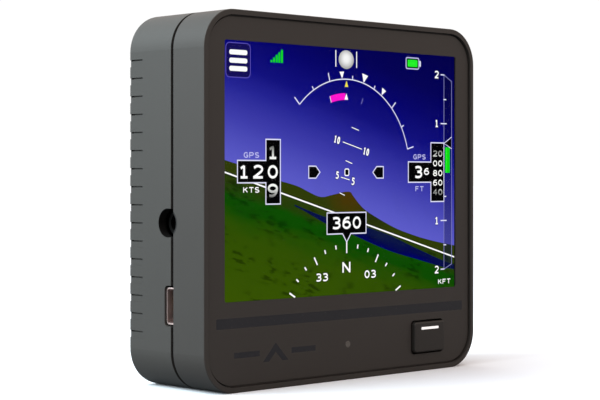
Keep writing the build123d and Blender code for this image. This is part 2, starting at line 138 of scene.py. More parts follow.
class Shader:
    """One material's node tree, built by short calls."""

    def __init__(self, name: str) -> None:
        """Starts an empty material.

        Args:
            name: The material's name.
        """
        self.material = bpy.data.materials.new(name)
        self.material.use_nodes = True
        self.tree = self.material.node_tree
        self.tree.nodes.clear()
        self.place = self.node("ShaderNodeTexCoord").outputs["Object"]

    def node(
        self,
        kind: str,
        settings: Optional[dict[str, Any]] = None,
        inputs: Optional[dict[Union[str, int], Any]] = None,
    ) -> bpy.types.Node:
        """Adds a node: its settings first, then its sockets.

        Args:
            kind: The node's type.
            settings: Properties, or "stops" for a colour ramp's positions and colours.
            inputs: Values, signals or sockets for the inputs, by name or number.

        Returns:
            The new node.
        """
        made = self.tree.nodes.new(kind)
        for name, value in (settings or {}).items():
            if name == "stops":
                self._set_stops(made.color_ramp, value)
            else:
                setattr(made, name, value)
        for name, value in (inputs or {}).items():
            source = value.socket if isinstance(value, Signal) else value
            if isinstance(source, bpy.types.NodeSocket):
                self.tree.links.new(source, made.inputs[name])
            else:
                made.inputs[name].default_value = source
        return made

    @staticmethod
    def _set_stops(ramp: bpy.types.ColorRamp, stops: Sequence[tuple[float, Colour]]) -> None:
        """Gives a ramp its stops, from the lowest up."""
        while len(ramp.elements) < len(stops):
            ramp.elements.new(1.0)
        for element, (position, colour) in zip(ramp.elements, stops):
            element.position = position
            element.color = colour

    def axes(self) -> tuple[Signal, Signal, Signal]:
        """Splits the object's coordinates into three signals, in metres."""
        node = self.node("ShaderNodeSeparateXYZ", None, {0: self.place})
        return tuple(Signal(self, node.outputs[i]) for i in range(3))

    def stretched(self, x: float, y: float, z: float, turn: float = 0.0) -> bpy.types.NodeSocket:
        """Scales the object's coordinates, after a turn about Y.

        Args:
            x: Factor along X.
            y: Factor along Y.
            z: Factor along Z.
            turn: Angle about Y in radians.

        Returns:
            The vector socket.
        """
        inputs = {"Vector": self.place, "Rotation": (0, turn, 0)}
        turned = self.node("ShaderNodeMapping", None, inputs).outputs[0]
        inputs = {"Vector": turned, "Scale": (x, y, z)}
        return self.node("ShaderNodeMapping", None, inputs).outputs[0]

    def noise(
        self, size: float, detail: float = 2.0, vector: Optional[bpy.types.NodeSocket] = None
    ) -> Signal:
        """Fractal noise about 0.5.

        Args:
            size: Width of its blotches in millimetres.
            detail: Octaves.
            vector: Coordinates, or None for the object's.

        Returns:
            The noise, from 0 to 1.
        """
        inputs = {"Vector": vector or self.place, "Scale": 1 / (size * MM), "Detail": detail}
        return Signal(self, self.node("ShaderNodeTexNoise", None, inputs).outputs["Fac"])

    def cells(self, size: float) -> Signal:
        """Distance to the nearest of many scattered points.

        Args:
            size: Spacing of the points in millimetres.

        Returns:
            The distance, about 0 to 1.
        """
        inputs = {"Vector": self.place, "Scale": 1 / (size * MM)}
        return Signal(self, self.node("ShaderNodeTexVoronoi", None, inputs).outputs["Distance"])

    def ramp(self, signal: Signal, stops: Sequence[tuple[float, Colour]]) -> bpy.types.NodeSocket:
        """Turns a signal from 0 to 1 into a colour."""
        return self.node("ShaderNodeValToRGB", {"stops": stops}, {0: signal}).outputs[0]

    def mix(self, factor: Any, first: Any, second: Any) -> bpy.types.NodeSocket:
        """Mixes two colours; a factor of 1 gives the second."""
        settings = {"data_type": "RGBA", "clamp_factor": True}
        return self.node("ShaderNodeMix", settings, {0: factor, 6: first, 7: second}).outputs[2]

    def scaled(self, colour: Any, factor: Any) -> bpy.types.NodeSocket:
        """Multiplies a colour by a number."""
        first = colour if isinstance(colour, bpy.types.NodeSocket) else colour[:3]
        inputs = {0: first, "Scale": factor}
        return self.node("ShaderNodeVectorMath", {"operation": "SCALE"}, inputs).outputs[0]

    def bump(self, height: Signal, depth: float) -> bpy.types.NodeSocket:
        """Normal of a relief.

        Args:
            height: Relief, from 0 to 1.
            depth: Its full height in millimetres.

        Returns:
            The normal socket.
        """
        inputs = {"Height": height, "Distance": depth * MM, "Strength": 1.0}
        return self.node("ShaderNodeBump", None, inputs).outputs[0]

    def surface(self, **inputs: Any) -> bpy.types.Material:
        """Ends the tree with a Principled surface.

        Args:
            inputs: Its sockets by name, with underscores for spaces.

        Returns:
            The finished material.
        """
        named = {key.replace("_", " "): value for key, value in inputs.items()}
        named = {{"IOR Level": "Specular IOR Level"}.get(key, key): value for key, value in named.items()}
        principled = self.node("ShaderNodeBsdfPrincipled", None, named)
        self.node("ShaderNodeOutputMaterial", None, {"Surface": principled.outputs[0]})
        return self.material


# ---- finishes --------------------------------------------------------------------


@dataclass(frozen=True)
class Finish:
    """A named look; each one is built once and shared."""

    name: str
    made: ClassVar[dict[str, bpy.types.Material]] = {}

    def material(self) -> bpy.types.Material:
        """Returns the finish's material, built at its first use."""
        if self.name not in Finish.made:
            Finish.made[self.name] = self.build(Shader(self.name))
        return Finish.made[self.name]

    def build(self, shader: Shader) -> bpy.types.Material:
        """Fills the shader; each kind of finish has its own."""
        raise NotImplementedError


@dataclass(frozen=True)
class MouldedPlastic(Finish):
    """Injection-moulded plastic with an eroded grain and faint flow mottling, and painted shade on the wall
    of a given round hole.
    """

    colour: Colour = (0.1, 0.1, 0.1, 1.0)
    roughness: float = 0.55
    grain: float = 0.32
    relief: float = 0.012
    mottle: float = 0.10
    level: float = 0.35
    # y, z and radius of a round hole in the left side whose wall is darkened as painted shade
    hole: Optional[tuple[float, float, float]] = None

    def painted_hole_shade(self, shader: Shader) -> Signal:
        """Mask of the painted shade: 1 on the wall of the left side's round hole, and 0 elsewhere."""
        middle_y, middle_z, radius = self.hole
        x, y, z = shader.axes()
        away = ((y - middle_y) * (y - middle_y) + (z - middle_z) * (z - middle_z)).root()
        return (1 - away.between(radius, radius + 0.06 * MM)) * (x * -1).between(0, MM)

    def build(self, shader: Shader) -> bpy.types.Material:
        """Grain is cell noise under fine fractal noise, and the tone drifts over centimetres. The wall of a
        given hole is painted with shade.
        """
        pits = shader.cells(self.grain)
        fine = shader.noise(self.grain * 0.7, 3)
        broad = shader.noise(22, 2)
        cloud = shader.noise(5, 3)
        height = pits * 0.5 + fine * 0.5
        shade = 1 + (broad - 0.5) * self.mottle + (cloud - 0.5) * self.mottle * 0.6 + (fine - 0.5) * 0.10
        # painted shade: the hole's wall is made nine tenths darker
        if self.hole:
            shade = shade * (1 - self.painted_hole_shade(shader) * 0.9)
        return shader.surface(
            Base_Color=shader.scaled(self.colour, shade),
            Roughness=self.roughness + (fine - 0.5) * 0.16 + (cloud - 0.5) * 0.06,
            Normal=shader.bump(height, self.relief),
            IOR_Level=self.level,
        )


@dataclass(frozen=True)
class GlossTrim(Finish):
    """Polished dark trim with a slight orange peel and a few fine specks of dust."""

    colour: Colour = (0.02, 0.02, 0.02, 1.0)
    roughness: float = 0.12
    level: float = 0.5

    def build(self, shader: Shader) -> bpy.types.Material:
        """Peel is long smooth noise; specks are the tips of small cells."""
        peel = shader.noise(2.4, 1)
        specks = 1 - shader.cells(0.9).between(0.03, 0.10)
        haze = shader.noise(7, 3)
        return shader.surface(
            Base_Color=shader.mix(specks * 0.25, self.colour, (0.16, 0.16, 0.17, 1)),
            Roughness=self.roughness + haze * 0.10 + specks * 0.3,
            Normal=shader.bump(peel, 0.004),
            IOR_Level=self.level,
        )


@dataclass(frozen=True)
class Metal(Finish):
    """Metal with fine lines along one axis, as brushing, drawing or turning leaves them."""

    colour: Colour = (0.6, 0.6, 0.6, 1.0)
    roughness: float = 0.32
    lines: tuple[float, float, float] = (1.0, 1.0, 14.0)

    def build(self, shader: Shader) -> bpy.types.Material:
        """Lines are noise squeezed across them; tarnish is broad noise."""
        streak = shader.noise(1.2, 3, shader.stretched(*self.lines))
        tarnish = shader.noise(3, 3)
        return shader.surface(
            Base_Color=shader.scaled(self.colour, 0.86 + streak * 0.18 + tarnish * 0.10),
            Roughness=self.roughness + (streak - 0.5) * 0.22,
            Metallic=1.0,
            Normal=shader.bump(streak, 0.003),
        )


@dataclass(frozen=True)
class SoftRubber(Finish):
    """Matt rubber or foam, with pores."""

    colour: Colour = (0.02, 0.02, 0.02, 1.0)
    pores: float = 0.25

    def build(self, shader: Shader) -> bpy.types.Material:
        """Pores are cell noise."""
        pits = shader.cells(self.pores)
        cloud = shader.noise(2, 3)
        return shader.surface(
            Base_Color=shader.scaled(self.colour, 0.8 + cloud * 0.4),
            Roughness=0.82 + (cloud - 0.5) * 0.2,
            Normal=shader.bump(pits, 0.02),
            IOR_Level=0.2,
        )


@dataclass(frozen=True)
class CoverGlass(Finish):
    """Thin coated glass over the display, nearly clear, with faint finger smears."""

    def build(self, shader: Shader) -> bpy.types.Material:
        """Smears are stretched noise that makes the gloss a little rougher and the glass less clear."""
        smear = shader.noise(9, 4, shader.stretched(1, 1, 0.35, 0.6)).between(0.52, 0.75)
        return shader.surface(
            Base_Color=(0.01, 0.01, 0.012, 1),
            Roughness=0.04 + smear * 0.18,
            Alpha=0.012 + smear * 0.02,
            Normal=shader.bump(shader.noise(30, 1), 0.01),
        )


@dataclass(frozen=True)
class CircuitBoard(Finish):
    """Solder-masked laminate with copper tracks that show through as a lighter green."""

    colour: Colour = (0.012, 0.13, 0.06, 1.0)
    track: float = 0.8 * MM

    def build(self, shader: Shader) -> bpy.types.Material:
        """Tracks are thin stripes along X and Z, switched in blocks by coarse noise."""
        x, _, z = shader.axes()
        across, along = (
            ((way / self.track).fraction() - 0.5).absolute().between(0.16, 0.20) for way in (x, z)
        )
        choice = shader.noise(6, 0).between(0.49, 0.51)
        tracks = across * choice + along * (1 - choice)
        weave = shader.noise(0.3, 2)
        bright, dull = shader.scaled(self.colour, 1.9), shader.scaled(self.colour, 0.7 + weave * 0.5)
        return shader.surface(
            Base_Color=shader.mix(tracks, bright, dull),
            Roughness=0.34 + weave * 0.12,
            Normal=shader.bump(1 - tracks, 0.02),
        )


# ---- display: colours and pictures --------------------------------------------------


@dataclass(frozen=True)
class Screen:
    """Where the picture is: 320 by 240 units, from the upper left, u to the right and v down."""

    centre_x: float
    centre_z: float
    front_y: float
    unit: float = 0.219 * MM
    columns: float = 320.0
    rows: float = 240.0
    horizon: float = 121.0
    slope: float = 0.2756
    step: float = 0.009 * MM

    @property
    def tilt(self) -> float:
        """Bank of the horizon line, in radians."""
        return math.atan(self.slope)

    def spot(self, points: Array, lift: int) -> Array:
        """Places flat points in space.

        Args:
            points: Array of u and v, of any shape ending in 2.
            lift: Layer, counted towards the viewer.

        Returns:
            The same array in metres, ending in 3.
        """
        x = self.centre_x + (points[..., 0] - self.columns / 2) * self.unit
        z = self.centre_z - (points[..., 1] - self.rows / 2) * self.unit
        y = np.full_like(x, self.front_y - lift * self.step)
        return np.stack([x, y, z], -1)

    def signals(self, shader: Shader) -> tuple[Signal, Signal]:
        """Gives u and v as signals."""
        x, _, z = shader.axes()
        u = (x - self.centre_x) / self.unit + self.columns / 2
        v = self.rows / 2 - (z - self.centre_z) / self.unit
        return u, v

    def below_horizon(self, shader: Shader) -> Signal:
        """Distance below the banked horizon line, in units, square to it."""
        u, v = self.signals(shader)
        return (v - self.horizon - u * self.slope) * math.cos(self.tilt)

    def dots(self, shader: Shader) -> Signal:
        """Faint dark grid between the display's dots."""
        gap_u, gap_v = (
            (way.fraction() - 0.5).absolute().between(0.36, 0.5) for way in self.signals(shader)
        )
        return 1.06 - gap_u.largest(gap_v) * 0.10


LENS_LOW, LENS_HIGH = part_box("display_lens")
PARALLAX = -0.1 * MM
SCREEN = Screen(
    centre_x=(LENS_LOW.x + LENS_HIGH.x) / 2 + PARALLAX,
    centre_z=(LENS_LOW.z + LENS_HIGH.z) / 2,
    front_y=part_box("lcd_cell")[0].y - 0.005 * MM,
)


class Layer(Enum):
    """Layers of the picture, from the back forwards."""

    SKY = 0
    FAR_LAND = 1
    LAND = 2
    WATER = 3
    LINE = 4
    SHADE = 5
    BOX = 6
    MARK = 7
    FIGURE = 8
    FRONT = 9


@dataclass(frozen=True)
class LitColour(Finish):
    """One colour of the lit picture, with the display's dot grid."""

    colour: Colour = (1.0, 1.0, 1.0, 1.0)
    alpha: float = 1.0

    def light(self, shader: Shader) -> Any:
        """Colour of the light before the dot grid."""
        return self.colour

    def build(self, shader: Shader) -> bpy.types.Material:
        """The surface gives off light and reflects almost none."""
        return shader.surface(
            Base_Color=(0, 0, 0, 1),
            Roughness=0.6,
            IOR_Level=0.0,
            Alpha=self.alpha,
            Emission_Color=shader.scaled(self.light(shader), SCREEN.dots(shader)),
            Emission_Strength=1.0,
        )


@dataclass(frozen=True)
class SkyPicture(LitColour):
    """Sky, from violet-blue at the horizon to navy high above it."""

    reach: float = 220.0
    stops: tuple[tuple[float, Colour], ...] = (
        (0.0, tone(96, 94, 204)),
        (0.09, tone(86, 86, 193)),
        (0.24, tone(61, 60, 169)),
        (0.37, tone(35, 35, 146)),
        (0.46, tone(14, 14, 124)),
        (0.59, tone(4, 3, 106)),
        (0.71, tone(2, 1, 86)),
        (1.0, tone(1, 0, 64)),
    )

    def light(self, shader: Shader) -> Any:
        """The colour follows the height above the horizon."""
        return shader.ramp(SCREEN.below_horizon(shader) / -self.reach, self.stops)


@dataclass(frozen=True)
class LandPicture(LitColour):
    """Terrain in bands along the horizon, with streaks of shade."""

    reach: float = 110.0
    stops: tuple[tuple[float, Colour], ...] = ((0.0, tone(12, 74, 3)),)
    streaks: float = 0.5
    drift: float = 22.0

    def light(self, shader: Shader) -> Any:
        """Bands follow the distance below the horizon; streaks are noise drawn out along it."""
        below = SCREEN.below_horizon(shader)
        vector = shader.stretched(0.35, 1.0, 1.3, -SCREEN.tilt)
        wander = shader.noise(2.6, 2, vector) - 0.5
        patch = shader.noise(6, 1).between(0.44, 0.64)
        streak = shader.noise(0.9, 2, vector).between(0.50, 0.62) * patch
        base = shader.ramp((below + wander * self.drift) / self.reach, self.stops)
        return shader.scaled(base, 1 - streak * self.streaks)


@dataclass(frozen=True)
class PeakPicture(LitColour):
    """Far hills, olive low down and rust at the summit."""

    summit: Point = (166.0, 142.0)
    low: Colour = tone(47, 59, 9)
    high: Colour = tone(74, 52, 8)
    dark: Colour = tone(20, 20, 15)

    def light(self, shader: Shader) -> Any:
        """Rust fades with distance from the summit, and slopes to its right are darker."""
        u, v = SCREEN.signals(shader)
        du, dv = u - self.summit[0], v - self.summit[1]
        away = (du * du * 0.55 + dv * dv).root()
        fold = shader.noise(1.6, 3) - 0.5
        rust = 1 - (away + fold * 10).between(4, 32)
        base = shader.mix(rust * 0.85, self.low, self.high)
        lee = (u - v * 0.55).between(88, 104) * (1 - away.between(30, 60)) * 0.45
        return shader.mix(lee + fold * 0.25, base, self.dark)


@dataclass(frozen=True)
class DrumPicture(LitColour):
    """Figures on a rolling drum, which fade towards its ends."""

    middle: float = 120.6
    full: float = 9.0
    gone: float = 29.0

    def light(self, shader: Shader) -> Any:
        """The figures are full bright in the middle."""
        _, v = SCREEN.signals(shader)
        return shader.scaled(self.colour, 1 - (v - self.middle).absolute().between(self.full, self.gone))


@dataclass(frozen=True)
class BallPicture(LitColour):
    """The slip ball, lit from the middle."""

    centre: Point = (159.2, 10.0)
    half: Point = (10.6, 9.2)

    def light(self, shader: Shader) -> Any:
        """Shade grows with distance from a highlight near the centre."""
        u, v = SCREEN.signals(shader)
        du, dv = (u - self.centre[0]) / self.half[0], (v - self.centre[1] + 1) / self.half[1]
        away = (du * du + dv * dv).root()
        return shader.scaled(self.colour, 1 - away.between(0.15, 1.25) * 0.62)


class Lit(Enum):
    """The picture's colours."""

    WHITE = LitColour("lit_white", tone(253, 253, 254))
    PALE = LitColour("lit_pale", tone(222, 222, 246))
    LILAC = LitColour("lit_lilac", tone(186, 186, 232))
    DIM = LitColour("lit_dim", tone(128, 128, 186))
    RIM = LitColour("lit_rim", tone(88, 78, 182))
    BLACK = LitColour("lit_black", tone(3, 3, 4))
    SHADE = LitColour("lit_shade", tone(0, 0, 0), 0.62)
    HAZE = LitColour("lit_haze", tone(8, 8, 50), 0.48)
    GREEN = LitColour("lit_green", tone(16, 214, 16))
    DARK_GREEN = LitColour("lit_dark_green", tone(8, 96, 22))
    LIME = LitColour("lit_lime", tone(34, 236, 40))
    NAVY = LitColour("lit_navy", tone(20, 15, 85))
    MAGENTA = LitColour("lit_magenta", tone(252, 20, 205))
    YELLOW = LitColour("lit_yellow", tone(238, 222, 72))
    SKY = SkyPicture("lit_sky")
    LAND = LandPicture(
        "lit_land",
        reach=110.0,
        stops=(
            (0.0, tone(44, 60, 12)),
            (0.08, tone(36, 60, 10)),
            (0.17, tone(12, 74, 3)),
            (0.25, tone(13, 72, 2)),
            (0.34, tone(36, 76, 3)),
            (0.48, tone(48, 78, 3)),
            (1.0, tone(55, 82, 3)),
        ),
    )
    PEAK = PeakPicture("lit_peak")
    WATER = LandPicture(
        "lit_water",
        reach=40.0,
        stops=((0.0, tone(14, 26, 62)), (0.25, tone(4, 8, 74)), (0.5, tone(0, 3, 98)), (1.0, tone(0, 2, 84))),
        streaks=0.2,
    )
    DRUM = DrumPicture("lit_drum", tone(250, 252, 248))
    BALL = BallPicture("lit_ball", tone(244, 244, 244))


# ---- surfaces --------------------------------------------------------------------


class Surface:
    """Collects grids of points and makes one mesh object of them."""

    def __init__(self) -> None:
        """Starts with nothing."""
        self.points: list[Array] = []
        self.faces: list[Array] = []
        self.count = 0

    def add(self, points: Array, triangles: Array) -> "Surface":
        """Adds loose triangles.

        Args:
            points: (n, 3) places.
            triangles: (m, 3) indices into them.

        Returns:
            The surface itself.
        """
        self.points.append(points.reshape(-1, 3))
        self.faces.append(triangles + self.count)
        self.count += len(self.points[-1])
        return self

    def add_grid(self, grid: Array) -> "Surface":
        """Adds a two-parameter grid: each cell is two triangles.

        Args:
            grid: (rows, columns, 3) places.

        Returns:
            The surface itself.
        """
        rows, columns = grid.shape[:2]
        index = np.arange(rows * columns).reshape(rows, columns)
        a, b, c, d = index[:-1, :-1], index[1:, :-1], index[1:, 1:], index[:-1, 1:]
        triangles = np.concatenate([np.stack([a, b, c], -1), np.stack([a, c, d], -1)]).reshape(-1, 3)
        return self.add(grid, triangles)

    def build(
        self,
        name: str,
        finish: Finish,
        body: str,
        slot: str,
        facing: Optional[Sequence[float]] = None,
        smooth: bool = False,
    ) -> bpy.types.Object:
        """Welds the points and makes the object.

        Args:
            name: The piece's name.
            finish: Its finish.
            body: The body that it rides on.
            slot: The record's material slot; not used.
            facing: Direction that flat faces look, or None to leave them.
            smooth: Whether faces shade smoothly.

        Returns:
            The mesh object, at the origin.
        """
        points = np.concatenate(self.points)
        faces = np.concatenate(self.faces)
        _, first, inverse = np.unique(
            np.round(points / 1e-7).astype(np.int64), axis=0, return_index=True, return_inverse=True
        )
        points, faces = points[first], inverse.reshape(-1)[faces]
        keep = (faces[:, 0] != faces[:, 1]) & (faces[:, 1] != faces[:, 2]) & (faces[:, 2] != faces[:, 0])
        faces = faces[keep]
        if facing is not None:
            a, b, c = (points[faces[:, i]] for i in range(3))
            away = np.cross(b - a, c - a) @ np.array(facing, float) < 0
            faces = np.where(away[:, None], faces[:, ::-1], faces)
        mesh = bpy.data.meshes.new(name)
        mesh.from_pydata(points.tolist(), [], faces.tolist())
        mesh.polygons.foreach_set("use_smooth", np.full(len(faces), smooth))
        mesh.materials.append(finish.material())
        mesh.update()
        piece = bpy.data.objects.new(name, mesh)
        bpy.context.scene.collection.objects.link(piece)
        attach(piece, body)
        LOG.info("%s: %d triangles on %s", name, len(faces), body)
        return piece


def ribbon(path: Array, width: float, closed: bool = False) -> Array:
    """Carries a straight profile along a flat path, square to it, with mitred corners.

    Each point moves half a width along the mitre: the sum of the two unit normals beside it,
    divided by one plus their dot product.

    Args:
        path: (n, 2) points.
        width: Width of the band.
        closed: Whether the end joins the start.

    Returns:
        A (2, n, 2) grid.
    """
    track = np.concatenate([path[-1:], path, path[:1]]) if closed else path
    run = np.diff(track, axis=0)
    run = run / np.linalg.norm(run, axis=1, keepdims=True)
    side = np.stack([-run[:, 1], run[:, 0]], -1)
    if closed:
        before, after = side[:-1], side[1:]
    else:
        before, after = np.concatenate([side[:1], side]), np.concatenate([side, side[-1:]])
    mitre = (before + after) / np.maximum(1 + (before * after).sum(1, keepdims=True), 0.5)
    edges = np.stack([path + mitre * width / 2, path - mitre * width / 2])
    return np.concatenate([edges, edges[:, :1]], 1) if closed else edges


def arc(centre: Point, radius: float, start: float, end: float, count: int = 48) -> Array:
    """Points on a circle: the angle runs evenly, clockwise from straight up, in degrees."""
    angle = np.radians(np.linspace(start, end, count))
    return np.array(centre) + radius * np.stack([np.sin(angle), -np.cos(angle)], -1)


def spoke(centre: Point, inner: float, outer: float, angle: float) -> Array:
    """A straight path along a circle's radius, between two radii."""
    turn = math.radians(angle)
    way = np.array([math.sin(turn), -math.cos(turn)])
    return np.array(centre) + np.array([inner, outer])[:, None] * way


def patch(upper: Array, lower: Array) -> Array:
    """Ruled area between two paths of as many points: a (2, n, 2) grid."""
    return np.stack([upper, lower])


def rounded(centre: Point, width: float, height: float, radius: float, steps: int = 7) -> Array:
    """Closed outline of a rounded rectangle: a quarter circle about each inner corner."""
    quarter = np.linspace(0, np.pi / 2, steps)
    angle = np.concatenate([quarter + turn * np.pi / 2 for turn in range(4)])
    signs = np.repeat([[1, 1], [-1, 1], [-1, -1], [1, -1]], steps, axis=0)
    inner = signs * (np.array([width, height]) / 2 - radius)
    return np.array(centre) + inner + radius * np.stack([np.cos(angle), np.sin(angle)], -1)


def curve(points: Sequence[Point], per: int = 12) -> Array:
    """A smooth path through points, by the Catmull-Rom cubic between each two.

    Args:
        points: The points.
        per: Steps between each two.

    Returns:
        (n, 2) path.
    """
    p = np.array(points, float)
    p = np.concatenate([2 * p[:1] - p[1:2], p, 2 * p[-1:] - p[-2:-1]])
    t = np.linspace(0, 1, per, endpoint=False)[None, :, None]
    a, b, c, d = (p[i : len(p) - 3 + i, None] for i in range(4))
    middle = 0.5 * (
        2 * b + (c - a) * t + (2 * a - 5 * b + 4 * c - d) * t**2 + (3 * b - a - 3 * c + d) * t**3
    )
    return np.concatenate([middle.reshape(-1, 2), p[-2:-1]])


def loop(x: float, y: float, half_x: float, half_y: float) -> Array:
    """A closed ellipse about a centre; its last point joins its first."""
    angle = np.linspace(0, 2 * np.pi, 21)
    return np.stack([x + half_x * np.sin(angle), y - half_y * np.cos(angle)], -1)


def bent(*points: Point) -> Array:
    """A smooth stroke through points."""
    return curve(points, 4)


def straight(*points: Point) -> Array:
    """A stroke of straight runs."""
    return np.array(points, float)


def corners(left: float, top: float, right: float, bottom: float) -> Array:
    """Closed path round a rectangle from its upper left corner."""
    return straight((left, top), (right, top), (right, bottom), (left, bottom), (left, top))


SIX = (loop(0.5, 0.69, 0.5, 0.31), bent((0.92, 0.04), (0.6, 0), (0.25, 0.12), (0.04, 0.4), (0, 0.69)))

# The strokes of each figure, in a unit square: x to the right and y down.
STROKES: dict[str, tuple[Array, ...]] = {
    "0": (loop(0.5, 0.5, 0.5, 0.5),),
    "1": (
        straight((0.1, 0.2), (0.52, 0)),
        straight((0.52, -0.05), (0.52, 1)),
        straight((0.08, 1), (0.96, 1)),
    ),
    "2": (
        bent((0.02, 0.14), (0.3, 0), (0.66, 0), (0.95, 0.16), (0.9, 0.42), (0.5, 0.7), (0, 1)),
        straight((-0.08, 1), (1.04, 1)),
    ),
    "3": (
        bent((0.03, 0.06), (0.4, 0), (0.8, 0.05), (0.95, 0.25), (0.75, 0.44), (0.35, 0.47)),
        bent((0.35, 0.47), (0.8, 0.52), (1, 0.73), (0.8, 0.95), (0.35, 1), (0, 0.94)),
    ),
    "4": (straight((0.72, 1.08), (0.72, 0), (0, 0.68), (1.05, 0.68)),),
    "5": (
        straight((0.92, 0), (0.12, 0), (0.12, 0.43)),
        bent((0.1, 0.42), (0.45, 0.37), (0.85, 0.48), (0.98, 0.7), (0.8, 0.93), (0.4, 1), (0.02, 0.93)),
    ),
    "6": SIX,
    "8": (loop(0.5, 0.25, 0.42, 0.25), loop(0.5, 0.75, 0.5, 0.25)),
    "9": tuple(1 - stroke for stroke in SIX),
    "F": (straight((0, 1.08), (0, 0), (0.95, 0)), straight((0, 0.48), (0.78, 0.48))),
    "G": (
        bent((0.95, 0.14), (0.6, 0), (0.2, 0.1), (0, 0.5), (0.2, 0.9), (0.6, 1), (1, 0.86)),
        straight((0.6, 0.54), (1, 0.54), (1, 0.92)),
    ),
    "K": (straight((0, -0.08), (0, 1.08)), straight((0, 0.6), (0.95, 0)), straight((0.36, 0.38), (1, 1))),
    "N": (
        straight((0, -0.08), (0, 1.08)),
        straight((1, -0.08), (1, 1.08)),
        straight((0.02, 0.02), (0.98, 0.98)),
    ),
    "P": (
        straight((0, -0.08), (0, 1.08)),
        bent((0, 0), (0.6, 0), (0.95, 0.12), (0.95, 0.42), (0.6, 0.55), (0, 0.55)),
    ),
    "S": (
        bent(
            (0.92, 0.08), (0.5, 0), (0.08, 0.12), (0.1, 0.38), (0.5, 0.5),
            (0.92, 0.62), (0.92, 0.88), (0.5, 1), (0.03, 0.92),
        ),
    ),
    "T": (straight((-0.06, 0), (1.06, 0)), straight((0.5, 0), (0.5, 1.08))),
}


